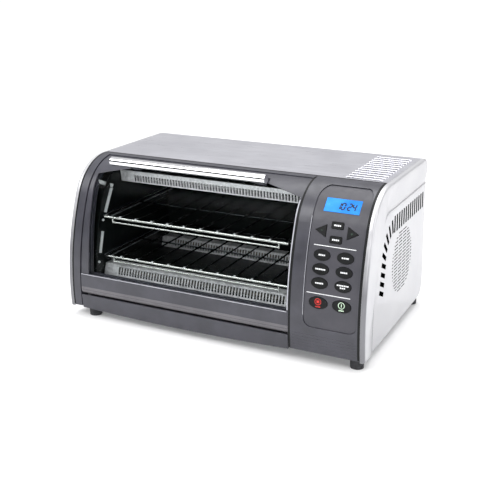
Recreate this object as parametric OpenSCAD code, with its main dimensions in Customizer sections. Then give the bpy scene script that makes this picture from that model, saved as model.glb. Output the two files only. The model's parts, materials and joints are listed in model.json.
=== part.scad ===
// Digital toaster oven with a curved front, as an assembly of separate parts.
// X runs to the right, Y runs from the front to the back, Z runs up from the floor.
// Each part is drawn with Y = 0 on the foremost line of the shell, then centred and raised.

/* [Body] */
// Width of the front between the two side panels
front_w = 460; // [456:1:464]
// Depth of the shell from its foremost line to the back panel
body_d = 288; // [286:1:300]
// Depth of each stamped side panel
side_w = 7; // [6.5:0.5:8]
// Height of the base above the zero level of the body
base_z = 13; // [12.5:0.5:14]
// How far the feet reach below the zero level, which raises the whole oven
foot_lift = 4; // [1:0.5:6]
// Thickness of the sheet metal
sheet = 1.2; // [1:0.1:1.3]
// Radius of the upper rear corner
rear_r = 20; // [19:1:24]
// Radius of a front foot
foot_r = 10; // [8:0.1:10.5]
// Radius of a rear foot
rear_foot_r = 10.9; // [9:0.1:10.9]

/* [Front curve] */
// Height of the foremost line of the curved front
bulge_z = 56; // [55:0.5:57]
// Radius of the long sweep of the front
sweep_r = 350; // [345:1:355]
// Radius of the bend into the top
crown_r = 74; // [73:0.5:75]
// Angle above the horizontal at which the sweep meets the bend
blend_a = 22; // [21.5:0.5:22.5]

/* [Door] */
// Width of the grey upright strip left of the door
bezel_w = 14.4; // [13.6:0.1:15]
// Thickness of the door moulding
door_t = 14; // [13:0.5:14]
// Radius of the rounded lower edge, about the hinge line
barrel_r = 8.3; // [8:0.1:8.4]
// Radius of the two hinge pins
pin_r = 2.5; // [2:0.1:3]
// Thickness of the curved glass
glass_t = 3.5; // [3:0.1:3.8]
// Radius of the handle bar
bar_r = 6.5; // [6:0.1:7]
// Length of the handle bar
bar_l = 250; // [240:1:260]

/* [Control panel] */
// Width of the control housing
control_w = 100; // [98:0.5:101]
// Distance between the two columns of oval keys
key_column = 33; // [31:0.5:34]
// Distance between the rows of oval keys
key_row = 18.4; // [17.5:0.1:19]
// How far a key presses in
key_travel = 1; // [0.5:0.1:1.2]

/* [Oven] */
// Height of the cavity floor
floor_z = 50; // [49:0.5:51]
// Height of the cavity roof
roof_z = 213; // [212:0.5:214]
// Depth at which the cavity's back wall stands
cavity_back = 232; // [230:1:236]
// Radius of a tubular heating element
rod_r = 3.5; // [3:0.1:3.9]
// Number of gaps between the wires that run front to back in a rack
rack_gaps = 11; // [9:1:13]

/* [Hidden] */
$fn = 96;
ROUND = 240;
OVAL_KEYS = [for (i = [1:6]) str("oval_key_", i)];
HEAT_NAMES = ["upper_front", "upper_rear", "lower_front", "lower_rear"];

// Colours
GREY = "#62626c";
WARM_GREY = "#6b6870";
SILVER = "#dcdce2";
STEEL = "#c9c9ce";
ENAMEL = "#20282a";
CHROME = "#e6e6ea";
BLACK = "#17171a";

// Front curve: the sweep's centre lies at (sweep_r, bulge_z), the bend's at (crown_y, crown_z).
crown_y = sweep_r - (sweep_r - crown_r) * cos(blend_a);
crown_z = bulge_z + (sweep_r - crown_r) * sin(blend_a);
top_z = crown_z + crown_r;
far = 400;

// Stations across the width
half = front_w / 2;
fit = 0.3;
control_x = half - control_w;
end_gap = 1.8;
door_x0 = -half + bezel_w + 1.6;
door_x1 = control_x - 2.5;
cavity_x0 = door_x0 + 16;
cavity_x1 = door_x1 - 5.5;
panel_mid = control_x + 56.5;

// Stations along the depth
gland_out = 4;
mid_y = (body_d + gland_out) / 2;
door_back = 86.3;
cover_y = 101.5;
frame_back = 100.5;

// Hinge line of the door
hinge_y = 8.5;
hinge_z = 41.5;
hinge_gap = 0.05;

// Door window, seen from the front
window_x0 = door_x0 + 13;
window_x1 = door_x1 - 3;
window_z0 = 66;
window_end_z = 214;
window_top_z = 225;
window_arch_r = 760;
window_flare = 6;
glass_in = 4;
rail_step = 1.3;

// Handle bar
bar_x = -41;
bar_y = 22;
bar_z = 240.8;
post_reach = 103;

// Lower trim, which is the crumb tray's front
fascia_top = 32.3;
fascia_bottom = 11;
fascia_drop = 4;
tray_x0 = cavity_x0 + 8;
tray_x1 = cavity_x1 - 10;
tray_y1 = 230;

// Recessed plate of the control panel
inset_x0 = control_x + 19.5;
inset_x1 = half - 5;
inset_z0 = 50;
inset_z1 = 230;
inset_corner = 12;
inset_in = 1.2;
inset_t = 3;

// Keys: [centre along X, height], the outline and what it measures
oval_z = 149;
pair_z = 85.7;
arrow_z = 180;
arrow_reach = 22;
small_z = 179;
small_step = 18;
key_proud = 1;
key_flange = 1.5;

// Display window, on the bend at 45 degrees
display_w = 50;
display_h = 21;

// Oven hardware: [y, z] of each heating element
ELEMENTS = [[101, 203], [204, 203], [48, 62], [216, 60]];
rack_x0 = cavity_x0 + 10.2;
rack_x1 = cavity_x1 - 8.4;
rack_y0 = 30;
rack_y1 = 222;
upper_rack_z = 151;
lower_rack_z = 89;
rack_wire = 1.8;
guide_w = 13;

// Convection fan
fan_y = 170.5;
fan_z = 104;
shaft_r = 3;
shroud_r = 48;

module centred() {
    translate([0, -mid_y, foot_lift]) children();
}

// Extrude a [y, z] outline from x0 to x1.
module along_x(x0, x1) {
    translate([x0, 0, 0]) rotate([90, 0, 90]) linear_extrude(x1 - x0) children();
}

// Extrude an [x, z] outline from y0 to y1.
module along_y(y0, y1) {
    translate([0, y1, 0]) rotate([90, 0, 0]) linear_extrude(y1 - y0) children();
}

module rod_x(x0, x1, y, z, r) {
    translate([x0, y, z]) rotate([0, 90, 0]) cylinder(h = x1 - x0, r = r);
}

module rod_y(y0, y1, x, z, r) {
    translate([x, y0, z]) rotate([-90, 0, 0]) cylinder(h = y1 - y0, r = r);
}

module block(x0, x1, y0, y1, z0, z1) {
    translate([x0, y0, z0]) cube([x1 - x0, y1 - y0, z1 - z0]);
}

module rect(a0, a1, b0, b1) {
    translate([a0, b0]) square([a1 - a0, b1 - b0]);
}

module rounded_rect(a0, a1, b0, b1, r) {
    rect(a0 + r, a1 - r, b0, b1);
    rect(a0, a1, b0 + r, b1 - r);
    for (a = [a0 + r, a1 - r], b = [b0 + r, b1 - r]) translate([a, b]) circle(r, $fn = 48);
}

// Side view of the shell, drawn in by inset: long sweep, bend, flat top and rear corner.
module profile(inset = 0, low = base_z) {
    top = top_z - inset;
    back = body_d - inset;
    corner = max(rear_r - inset, 0.5);
    intersection() {
        union() {
            intersection() {
                translate([sweep_r, bulge_z]) circle(sweep_r - inset, $fn = ROUND * 2);
                polygon([[crown_y, crown_z], [crown_y - far * cos(blend_a), crown_z + far * sin(blend_a)],
                         [-far, -far], [crown_y, -far]]);
            }
            intersection() {
                translate([crown_y, crown_z]) circle(crown_r - inset, $fn = ROUND);
                polygon([[crown_y, crown_z], [crown_y, crown_z + far],
                         [crown_y - far, crown_z + far],
                         [crown_y - far * cos(blend_a), crown_z + far * sin(blend_a)]]);
            }
            rect(crown_y, back - corner, -far, top);
            rect(back - corner, back, -far, top - corner);
            intersection() {
                translate([back - corner, top - corner]) circle(corner);
                rect(back - corner, back + 1, top - corner, top + 1);
            }
        }
        rect(-far, far, low, far);
    }
}

// A curved skin that follows the front between two insets, two heights and up to a depth.
module front_skin(x0, x1, inset0, inset1, back, low = base_z) {
    along_x(x0, x1) intersection() {
        difference() {
            profile(inset0, low);
            profile(inset1, low - 1);
        }
        rect(-far, back, low, far);
    }
}

// ---- Case ----

module base_pan() {
    color(STEEL) centred() {
        block(-half + 1, half - 1, 22, body_d - 1.5, base_z, base_z + sheet);
        block(door_x0 + 1, door_x1 - 1, 9, 22.5, base_z, base_z + sheet);
    }
}

module feet() {
    color(BLACK) centred()
        for (p = [[-203, 20, foot_r], [220, 21.5, foot_r], [-219, 275.5, rear_foot_r],
                  [219, 275.5, rear_foot_r]])
            translate([p[0], p[1], -foot_lift])
                cylinder(h = base_z + foot_lift, r1 = p[2] - 0.7, r2 = p[2]);
}

// Outline of the inner field of a side panel, which lies a little lower than its border.
module side_field() {
    border = 43;
    intersection() {
        profile(border, 24);
        rect(-far, 150, 24, far);
    }
    rect(150, body_d - 6, 24, top_z - border);
}

// Upright slots along the top of the field, a fan of slots round its corner, then leaning ones.
module side_slots() {
    slot_w = 6.4;
    slot_l = 21;
    for (i = [0:13]) translate([129.5 + i * 11.06, 167.8]) square([slot_w, 24.6], center = true);
    for (a = [11:16:75])
        translate([128, 122]) rotate(a) translate([0, 45.5]) rotate(8 - 0.38 * a)
            square([slot_w, slot_l], center = true);
    for (i = [0:3])
        translate([83 - 2.4 * i, 120.6 - 12.5 * i]) rotate(65) square([slot_w, slot_l], center = true);
}

// Round field of fine level slits, broken by upright ribs.
module slit_field() {
    field_r = 50;
    pitch = 4.9;
    rib = 3;
    difference() {
        for (i = [-9:9]) {
            reach = sqrt(field_r * field_r - pow(i * pitch, 2));
            rect(fan_y - reach, fan_y + reach, fan_z + i * pitch - 1, fan_z + i * pitch + 1);
        }
        for (k = [-2:2]) rect(fan_y + k * 20 - rib / 2, fan_y + k * 20 + rib / 2, fan_z - far, fan_z + far);
    }
}

// Outline of a side panel drawn in by inset all round, with its lower rear corner rounded.
module panel_outline(inset) {
    low = base_z - 2;
    corner = 22;
    difference() {
        profile(inset, low + inset);
        difference() {
            rect(body_d - corner, body_d + 1, low - 1, low + corner);
            translate([body_d - corner, low + corner]) circle(corner - inset);
        }
    }
}

// Right-hand stamping. The left one is its mirror image without the round field.
module side_panel(louvred) {
    difference() {
        union() {
            along_x(half, half + 3) panel_outline(0);
            along_x(half + 3, half + side_w - 1.5) panel_outline(1.2);
            along_x(half + side_w - 1.5, half + side_w) panel_outline(3.5);
        }
        along_x(half - 1, half + side_w - 1.8) panel_outline(5.3);
        along_x(half + side_w - 0.7, half + side_w + 1) side_field();
        along_x(half - 1, half + side_w + 1) side_slots();
        if (louvred) along_x(half - 1, half + side_w + 1) slit_field();
    }
}

module right_side_panel() {
    color(SILVER) centred() side_panel(true);
}

module left_side_panel() {
    color(SILVER) centred() mirror([1, 0, 0]) side_panel(false);
}

// Folded sheet over the top and round the upper rear corner, with louvres at its right end.
module top_cover() {
    louvre_x0 = half - 63;
    louvre_x1 = half - 9;
    louvres = 12;
    pitch = 12.5;
    color(STEEL) centred() difference() {
        union() {
            along_x(-half + fit, half - fit) intersection() {
                difference() {
                    profile(0);
                    profile(sheet, base_z - 1);
                }
                rect(cover_y, far, top_z - rear_r, far);
            }
            for (i = [0:louvres - 1])
                rod_x(louvre_x0, louvre_x1, 110.6 + i * pitch, top_z - 0.8, 2);
        }
        for (y = [106:pitch:106 + (louvres - 1) * pitch])
            block(louvre_x0 + 1, louvre_x1 - 1, y, y + 3.2, top_z - 5, top_z + 5);
    }
}

module screw_places() {
    for (x = [-215, 0, 215], z = [24, 205]) translate([x, body_d, z]) rotate([90, 0, 0]) children();
}

module back_panel() {
    color(STEEL) centred() difference() {
        block(-half + 1, half - 1, body_d - sheet, body_d, base_z + 0.5, top_z - rear_r - 0.2);
        for (i = [0:15], x = [-150, 60])
            block(x, x + 90, body_d - 5, body_d + 1, 70 + i * 7, 73 + i * 7);
        screw_places() cylinder(h = 10, r = 1.7, center = true);
        translate([190, body_d, 40]) rotate([90, 0, 0]) cylinder(h = 10, r = 7.1, center = true);
    }
}

module case_screws() {
    color(STEEL) centred() screw_places() {
        translate([0, 0, -1.6]) cylinder(h = 1.6, r = 3.4);
        cylinder(h = 8, r = 1.7);
    }
}

// Moulded bush that the supply lead passes through, with a groove for the back panel.
module cord_gland() {
    color(BLACK) centred() translate([190, body_d, 40]) rotate([90, 0, 0]) difference() {
        union() {
            translate([0, 0, -gland_out]) cylinder(h = gland_out, r = 9.5);
            cylinder(h = sheet, r = 7);
            translate([0, 0, sheet]) cylinder(h = 4, r = 9);
        }
        cylinder(h = 30, r = 3.6, center = true);
    }
}

// ---- Front frame and control panel ----

module left_bezel() {
    color(GREY) centred() difference() {
        front_skin(-half + end_gap, -half + bezel_w, 0, 16, frame_back);
        rod_x(-half - 1, -half + bezel_w + 1, hinge_y, hinge_z, pin_r);
    }
}

module top_bezel() {
    color(GREY) centred() intersection() {
        front_skin(-half + bezel_w + 0.1, control_x - 0.1, 0, 3, frame_back);
        block(-far, far, door_back + 1.2, far, 0, far);
    }
}

module inset_outline(grow = 0) {
    rounded_rect(inset_x0 - grow, inset_x1 + grow, inset_z0 - grow, inset_z1 + grow, inset_corner);
}

// Curved housing: an outer skin with a window for the recessed plate, and two end walls.
module control_housing() {
    color(GREY) centred() difference() {
        union() {
            front_skin(control_x, half - end_gap, 0, 3.5, frame_back);
            front_skin(control_x, control_x + 2.5, 0, 40, frame_back, base_z + sheet + 0.1);
            front_skin(half - end_gap - 2.5, half - end_gap, 0, 40, frame_back, base_z + sheet + 0.1);
        }
        along_y(-far, 90) inset_outline(0.2);
        rod_x(control_x - 1, control_x + 4, hinge_y, hinge_z, pin_r);
    }
}

// Place children on the front sweep at (x, z), with their Z axis pointing straight out of it.
module on_sweep(x, z) {
    lean = asin((z - bulge_z) / sweep_r);
    translate([x, sweep_r - sweep_r * cos(lean), z]) rotate([90 - lean, 0, 0]) children();
}

// Place children at the middle of the bend, with their Z axis pointing out at 45 degrees.
module on_crown(x) {
    translate([x, crown_y, crown_z]) rotate([45, 0, 0]) translate([0, 0, crown_r]) children();
}

// Oval of four arcs: two small ones at the ends and two large ones above and below. The large
// ones are drawn a little tighter than tangent, so that each pair of arcs really crosses.
module oval(w, h, grow = 0) {
    end_r = 0.37 * h;
    reach = w / 2 - end_r;
    crossing = 0.98;
    flat_r = crossing * (reach * reach + h * h / 4 - end_r * end_r) / (h - 2 * end_r);
    shift = flat_r - h / 2;
    meet = reach * (flat_r + grow) / (flat_r - end_r);
    for (s = [-1, 1]) translate([s * reach, 0]) circle(end_r + grow, $fn = 64);
    intersection() {
        translate([0, -shift]) circle(flat_r + grow, $fn = ROUND);
        translate([0, shift]) circle(flat_r + grow, $fn = ROUND);
        square([2 * meet, 2 * h], center = true);
    }
}

module arrow(grow = 0) {
    tip = 8 + 2 * grow;
    polygon([[-tip, 0], [7 + grow, 8.2 + 1.7 * grow], [7 + grow, -8.2 - 1.7 * grow]]);
}

// Outline of a key by its kind.
module key_outline(kind, grow = 0) {
    if (kind == "oval") oval(23, 14.6, grow);
    if (kind == "large") oval(26, 16, grow);
    if (kind == "small") rounded_rect(-8.4 - grow, 8.4 + grow, -4.6 - grow, 4.6 + grow, 2);
    if (kind == "left") arrow(grow);
    if (kind == "right") mirror([1, 0]) arrow(grow);
}

// Every key as [name, x, z, kind].
KEYS = concat(
    [for (i = [0:5]) [OVAL_KEYS[i], panel_mid + (i % 2 - 0.5) * key_column,
                      oval_z - floor(i / 2) * key_row, "oval"]],
    [["stop_key", panel_mid - key_column / 2, pair_z, "large"],
     ["start_key", panel_mid + key_column / 2, pair_z, "large"],
     ["left_arrow_key", panel_mid - arrow_reach, arrow_z, "left"],
     ["right_arrow_key", panel_mid + arrow_reach, arrow_z, "right"],
     ["upper_small_key", panel_mid, small_z + small_step / 2, "small"],
     ["lower_small_key", panel_mid, small_z - small_step / 2, "small"]]);

// A key: its cap through the plate, and a wider flange behind the plate that keeps it in.
module key_cap(name) {
    key = [for (k = KEYS) if (k[0] == name) k][0];
    behind = inset_in + inset_t + key_travel + 0.4;
    on_sweep(key[1], key[2]) {
        translate([0, 0, -behind - 1.5])
            linear_extrude(behind + 1.5 + key_proud - inset_in) key_outline(key[3]);
        translate([0, 0, -behind - 1.5]) linear_extrude(1.5) key_outline(key[3], key_flange);
    }
}

module key(name) {
    color(BLACK) centred() key_cap(name);
}

module stop_key() {
    color(BLACK) centred() key_cap("stop_key");
}

module start_key() {
    color(BLACK) centred() key_cap("start_key");
}

module left_arrow_key() {
    color(BLACK) centred() key_cap("left_arrow_key");
}

module right_arrow_key() {
    color(BLACK) centred() key_cap("right_arrow_key");
}

module upper_small_key() {
    color(BLACK) centred() key_cap("upper_small_key");
}

module lower_small_key() {
    color(BLACK) centred() key_cap("lower_small_key");
}

// Recessed face plate with a hole for each key and for the display.
module control_inset() {
    color(WARM_GREY) centred() difference() {
        intersection() {
            front_skin(inset_x0 - 1, inset_x1 + 1, inset_in, inset_in + inset_t, 90);
            along_y(-far, 90) inset_outline();
        }
        for (k = KEYS)
            on_sweep(k[1], k[2]) linear_extrude(30, center = true) key_outline(k[3], 0.4);
        on_crown(panel_mid + 1)
            cube([display_w + 0.4, display_h + 0.4, 20], center = true);
    }
}

module display_lens() {
    color("#33a6ff") centred() on_crown(panel_mid + 1)
        translate([-display_w / 2, -display_h / 2, -4]) cube([display_w, display_h, 2.4]);
}

module display_module() {
    color(BLACK) centred() on_crown(panel_mid + 1)
        translate([-display_w / 2 - 3, -display_h / 2 - 2, -12.5])
            cube([display_w + 6, display_h + 4, 6.5]);
}

// Flat circuit board behind the keys, with a switch post under each key.
module control_board() {
    board_mid = 128;
    board_in = 19;
    board_h = 122;
    post_gap = inset_in + inset_t + 2 * key_travel + 0.4 + 1.5 + 0.4;
    color("#1d6b3a") centred() {
        on_sweep(panel_mid, board_mid)
            translate([-38, -board_h / 2, -board_in - 1.6]) cube([76, board_h, 1.6]);
        difference() {
            for (k = KEYS)
                on_sweep(k[1], k[2]) translate([0, 0, -30]) cylinder(h = 30 - post_gap, r = 2.4, $fn = 32);
            on_sweep(panel_mid, board_mid) translate([-100, -100, -board_in - 60]) cube([200, 200, 60]);
        }
    }
}

// Power board on stand-offs, with a transformer and two relays.
module power_board() {
    x0 = control_x + 10;
    y0 = 60;
    z0 = base_z + 8;
    color("#a07a3c") centred() {
        block(x0, x0 + 84, y0, y0 + 66, z0, z0 + 1.6);
        block(x0 + 6, x0 + 46, y0 + 8, y0 + 44, z0 + 1.6, z0 + 32);
        for (i = [0:1]) block(x0 + 54, x0 + 74, y0 + 8 + i * 26, y0 + 24 + i * 26, z0 + 1.6, z0 + 17);
        for (x = [x0 + 5, x0 + 79], y = [y0 + 5, y0 + 61])
            translate([x, y, base_z + sheet]) cylinder(h = 8 - sheet, r = 3);
    }
}

// ---- Oven cavity ----

module cavity_floor() {
    color(ENAMEL) centred() difference() {
        block(cavity_x0, cavity_x1, 24, cavity_back, floor_z, floor_z + sheet);
        for (y = [42, 209]) block(cavity_x0 + 14, cavity_x1 - 14, y, y + 12, 0, far);
    }
}

module cavity_roof() {
    color(ENAMEL) centred() block(cavity_x0, cavity_x1, 79, cavity_back, roof_z, roof_z + sheet);
}

module cavity_back_wall() {
    color(ENAMEL) centred()
        block(cavity_x0 - sheet, cavity_x1 + sheet, cavity_back, cavity_back + sheet,
              floor_z, roof_z + sheet);
}

// Side wall whose front edge follows the curve of the door, with a hole for each element.
module cavity_side(x0) {
    difference() {
        along_x(x0, x0 + sheet) intersection() {
            profile(18, floor_z);
            rect(-far, cavity_back, floor_z, roof_z + sheet);
        }
        for (e = ELEMENTS) rod_x(x0 - 1, x0 + sheet + 1, e[0], e[1], 6.6);
    }
}

module cavity_left_wall() {
    color(ENAMEL) centred() cavity_side(cavity_x0 - sheet);
}

// The right-hand wall has rings of air holes in front of the convection fan.
module cavity_right_wall() {
    color(ENAMEL) centred() difference() {
        cavity_side(cavity_x1);
        for (ring = [1:3], i = [0:7 * ring - 1])
            translate([cavity_x1 - 1, fan_y, fan_z]) rotate([i * 360 / (7 * ring), 0, 0])
                translate([0, 12.5 * ring, 0]) rotate([0, 90, 0]) cylinder(h = 5, r = 2.6, $fn = 24);
    }
}

module rack_guides(x0) {
    for (z = [upper_rack_z, lower_rack_z])
        block(x0, x0 + guide_w, 40, 226, z - rack_wire - 1.2, z - rack_wire - 0.2);
}

module left_rack_guides() {
    color(STEEL) centred() rack_guides(cavity_x0);
}

module right_rack_guides() {
    color(STEEL) centred() rack_guides(cavity_x1 - guide_w);
}

// Bent channel over an element. outline lists its outer corners, opening first and last.
module heat_guard(outline, slot_z0, slot_z1) {
    y0 = outline[0][0];
    y1 = outline[3][0];
    lip = outline[1][1] > outline[0][1] ? -1 : 1;
    inner = [[y0 + 1.1, outline[0][1] + lip], [outline[1][0] + 0.9, outline[1][1] + lip],
             [outline[2][0] - 0.9, outline[2][1] + lip], [y1 - 1.1, outline[3][1] + lip]];
    slots = 57;
    pitch = 4.9;
    slot_mid = (cavity_x0 + cavity_x1) / 2 + 5;
    color(STEEL) centred() difference() {
        along_x(cavity_x0 + 1.5, cavity_x1 - 1.5) difference() {
            polygon(outline);
            polygon(inner);
        }
        for (i = [0:slots - 1]) {
            x = slot_mid + (i - (slots - 1) / 2) * pitch;
            block(x - 1.4, x + 1.4, y0 - 5, y1 + 5, slot_z0, slot_z1);
        }
    }
}

module upper_front_guard() {
    heat_guard([[87, roof_z], [90, 192], [112, 192], [115, roof_z]], 194, 204);
}

module upper_rear_guard() {
    heat_guard([[190, roof_z], [193, 192], [215, 192], [218, roof_z]], 194, 204);
}

module lower_front_guard() {
    base = floor_z + sheet;
    heat_guard([[34, base], [41, 73], [58, 73], [62, base]], 58.5, 70);
}

module lower_rear_guard() {
    base = floor_z + sheet;
    heat_guard([[204, base], [208, 69], [224, 69], [228, base]], 53.5, 65.5);
}

module element(i) {
    color("#b8b2aa") centred() rod_x(cavity_x0 - 7, cavity_x1 + 7, ELEMENTS[i][0], ELEMENTS[i][1], rod_r);
}

// Ceramic bushes that carry the elements in the side walls, each with an outer flange.
module element_holders() {
    color("#e8e2d4") centred()
        for (e = ELEMENTS, s = [-1, 1]) {
            wall = s < 0 ? cavity_x0 : cavity_x1;
            difference() {
                union() {
                    rod_x(min(wall - s, wall + s * 5), max(wall - s, wall + s * 5),
                          e[0], e[1], 6.5);
                    rod_x(min(wall + s * sheet, wall + s * 5), max(wall + s * sheet, wall + s * 5),
                          e[0], e[1], 8.5);
                }
                rod_x(-far, far, e[0], e[1], rod_r);
            }
        }
}

// Wire rack: a frame, wires that run front to back and a second wire below the front one.
module rack(z) {
    pitch = (rack_x1 - rack_x0) / rack_gaps;
    thin = 1.2;
    drop = 7.5;
    rod_x(rack_x0, rack_x1, rack_y0, z, rack_wire);
    rod_x(rack_x0, rack_x1, rack_y1, z, rack_wire);
    rod_x(rack_x0, rack_x1, (rack_y0 + rack_y1) / 2, z - 0.6, thin);
    for (x = [rack_x0, rack_x1]) rod_y(rack_y0, rack_y1, x, z, rack_wire);
    for (i = [1:rack_gaps - 1]) rod_y(rack_y0 - 0.4, rack_y1, rack_x0 + i * pitch, z + 1, thin);
    for (x = [rack_x0, rack_x1], y = [rack_y0, rack_y1]) translate([x, y, z]) sphere(rack_wire, $fn = 32);
    rod_x(rack_x0 + pitch / 2, rack_x1 - pitch / 2, rack_y0 + 1, z - drop, thin);
    for (x = [rack_x0 + pitch / 2, rack_x1 - pitch / 2])
        translate([x, rack_y0 + 1, z - drop - thin]) cylinder(h = drop + thin, r = thin);
}

module upper_rack() {
    color(CHROME) centred() rack(upper_rack_z);
}

module lower_rack() {
    color(CHROME) centred() rack(lower_rack_z);
}

// ---- Door ----

// Door window seen from the front, with a shallow arch for its upper edge and a left edge that
// leans outwards in its upper part.
module window_outline(grow = 0) {
    mid = (window_x0 + window_x1) / 2;
    reach = (window_x1 - window_x0) / 2;
    arch_z = window_end_z - sqrt(window_arch_r * window_arch_r - reach * reach);
    flare_x = window_x0 - window_flare - grow;
    intersection() {
        polygon([[window_x0 - grow, window_z0 - grow], [window_x1 + grow, window_z0 - grow],
                 [window_x1 + grow, window_top_z + grow], [flare_x, window_top_z + grow],
                 [flare_x, 200], [window_x0 - grow, 95]]);
        translate([mid, arch_z]) circle(window_arch_r + grow, $fn = ROUND * 4);
    }
}

module glass_sheet(grow = 0) {
    intersection() {
        front_skin(window_x0 - 9.5 - grow, window_x1 + 2 + grow, glass_in - grow, glass_in + glass_t + grow,
                   door_back, hinge_z);
        block(-far, far, -far, far, window_z0 - 7 - grow, window_top_z + 2.5 + grow);
    }
}

// Moulded door frame: curved rails, an arched upper part and a rounded lower edge on the hinge
// line. The lower rail stands a little further out than the rest.
module door_frame() {
    bore_l = 9;
    color(GREY) centred() difference() {
        union() {
            front_skin(door_x0, door_x1, 0, door_t, door_back, hinge_z);
            rod_x(door_x0, door_x1, hinge_y, hinge_z, barrel_r);
        }
        front_skin(door_x0 - 1, door_x1 + 1, -1, rail_step, far, window_z0);
        along_y(-far, far) window_outline();
        glass_sheet(0.1);
        rod_x(door_x0 - 1, door_x0 + bore_l, hinge_y, hinge_z, pin_r + hinge_gap);
        rod_x(door_x1 - bore_l, door_x1 + 1, hinge_y, hinge_z, pin_r + hinge_gap);
    }
}

module door_glass() {
    color("#9fb4b8", 0.35) centred() glass_sheet();
}

// Thin steel frame round the inside of the window.
module glass_retainer() {
    color(STEEL) centred() difference() {
        front_skin(door_x0 + 3.5, door_x1 - 0.8, door_t, door_t + sheet, door_back - 2, window_z0 - 12);
        along_y(-far, far) window_outline(0.5);
    }
}

module handle_bar() {
    color(CHROME) centred() rod_x(bar_x - bar_l / 2, bar_x + bar_l / 2, bar_y, bar_z, bar_r);
}

// Two flat posts that carry the bar from the upper part of the door.
module handle_posts() {
    post_w = 12;
    color(GREY) centred() difference() {
        for (s = [-1, 1])
            along_x(bar_x + s * post_reach - post_w / 2, bar_x + s * post_reach + post_w / 2)
                polygon([[bar_y, bar_z + 4.5], [74, 228], [66, 218], [bar_y, bar_z - 4.5]]);
        rod_x(-far, far, bar_y, bar_z, bar_r);
        along_x(-far, far) profile(rail_step);
    }
}

module hinge_pins() {
    color(STEEL) centred() {
        rod_x(-half + 5, door_x0 + 8, hinge_y, hinge_z, pin_r);
        rod_x(door_x1 - 8, control_x + 4, hinge_y, hinge_z, pin_r);
    }
}

// ---- Crumb tray ----

// Shallow pan. Its front wall meets the back of the trim.
module crumb_tray() {
    z0 = base_z + 2.2;
    wall = 1;
    color(STEEL) centred() intersection() {
        difference() {
            block(tray_x0, tray_x1, 0, tray_y1, z0, 27);
            along_x(tray_x0 + wall, tray_x1 - wall) intersection() {
                profile(3 + wall + 0.5, z0 + wall);
                rect(-far, tray_y1 - wall, z0 + wall, far);
            }
        }
        along_x(-far, far) profile(3, 0);
    }
}

// Curved trim that closes the front below the door. Its lower edge sags in a shallow arc.
module tray_fascia() {
    mid = (door_x0 + door_x1) / 2;
    reach = (door_x1 - door_x0) / 2;
    arc_r = (reach * reach + fascia_drop * fascia_drop) / (2 * fascia_drop);
    color(GREY) centred() intersection() {
        front_skin(door_x0, door_x1 - 0.5, 0, 3, 30, 0);
        along_y(-far, far) intersection() {
            rect(door_x0, door_x1, 0, fascia_top);
            translate([mid, fascia_bottom - fascia_drop + arc_r]) circle(arc_r, $fn = 1440);
        }
    }
}

// Angle strips on the base that the tray slides between.
module tray_guides() {
    top = 28;
    color(STEEL) centred()
        for (s = [-1, 1]) {
            edge = s < 0 ? tray_x0 - 1 : tray_x1 + 1;
            along_y(30, tray_y1) polygon([[edge, base_z + sheet], [edge + s * 1.2, base_z + sheet],
                [edge + s * 1.2, top + 1.2], [edge - s * 5, top + 1.2], [edge - s * 5, top], [edge, top]]);
        }
}

// ---- Convection fan ----

module fan_shroud() {
    x0 = cavity_x1 + sheet;
    color(STEEL) centred() difference() {
        rod_x(x0, x0 + 20, fan_y, fan_z, shroud_r);
        rod_x(x0 - 1, x0 + 18.8, fan_y, fan_z, shroud_r - 1.2);
        rod_x(x0, x0 + 30, fan_y, fan_z, 6);
    }
}

module fan_motor() {
    x0 = cavity_x1 + sheet + 20;
    color("#8c8c90") centred() difference() {
        union() {
            rod_x(x0 + 5, x0 + 42, fan_y, fan_z, 25);
            rod_x(x0 + 2, x0 + 46, fan_y, fan_z, 9);
            for (a = [30, 150, 270])
                translate([x0, fan_y, fan_z]) rotate([a, 0, 0]) translate([0, 20, 0])
                    rotate([0, 90, 0]) cylinder(h = 6, r = 3.5);
        }
        rod_x(x0 - 5, x0 + 60, fan_y, fan_z, shaft_r + 0.05);
    }
}

module fan_shaft() {
    color(CHROME) centred() rod_x(cavity_x1 + 6, cavity_x1 + 88, fan_y, fan_z, shaft_r);
}

// Radial fan wheel: a hub on the shaft with pitched flat blades.
module fan_wheel(x0, blades, reach, pitch) {
    width = 10;
    translate([x0, fan_y, fan_z]) rotate([0, 90, 0]) difference() {
        union() {
            cylinder(h = width, r = 7);
            for (i = [0:blades - 1])
                rotate(i * 360 / blades) translate([5, 0, width / 2]) rotate([pitch, 0, 0])
                    translate([0, -0.6, -width / 2]) cube([reach - 5, 1.2, width]);
        }
        translate([0, 0, -10]) cylinder(h = 40, r = shaft_r);
    }
}

module convection_blade() {
    color("#8c8c90") centred() fan_wheel(cavity_x1 + 8, 8, 40, 25);
}

module cooling_blade() {
    color("#8c8c90") centred() fan_wheel(cavity_x1 + 76, 6, 42, 40);
}

base_pan();
feet();
left_side_panel();
right_side_panel();
top_cover();
back_panel();
case_screws();
cord_gland();
left_bezel();
top_bezel();
control_housing();
control_inset();
display_lens();
display_module();
control_board();
power_board();
left_arrow_key();
right_arrow_key();
upper_small_key();
lower_small_key();
stop_key();
start_key();
for (name = OVAL_KEYS) key(name);
cavity_floor();
cavity_roof();
cavity_left_wall();
cavity_right_wall();
cavity_back_wall();
left_rack_guides();
right_rack_guides();
element_holders();
upper_front_guard();
upper_rear_guard();
lower_front_guard();
lower_rear_guard();
for (i = [0:3]) element(i);
upper_rack();
lower_rack();
door_frame();
door_glass();
glass_retainer();
handle_bar();
handle_posts();
hinge_pins();
crumb_tray();
tray_fascia();
tray_guides();
fan_motor();
fan_shroud();
fan_shaft();
convection_blade();
cooling_blade();
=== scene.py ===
import json
from math import asin, atan2, cos, pi, radians, sin, sqrt

import bmesh
import bpy
from mathutils import Euler, Matrix, Vector


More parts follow.
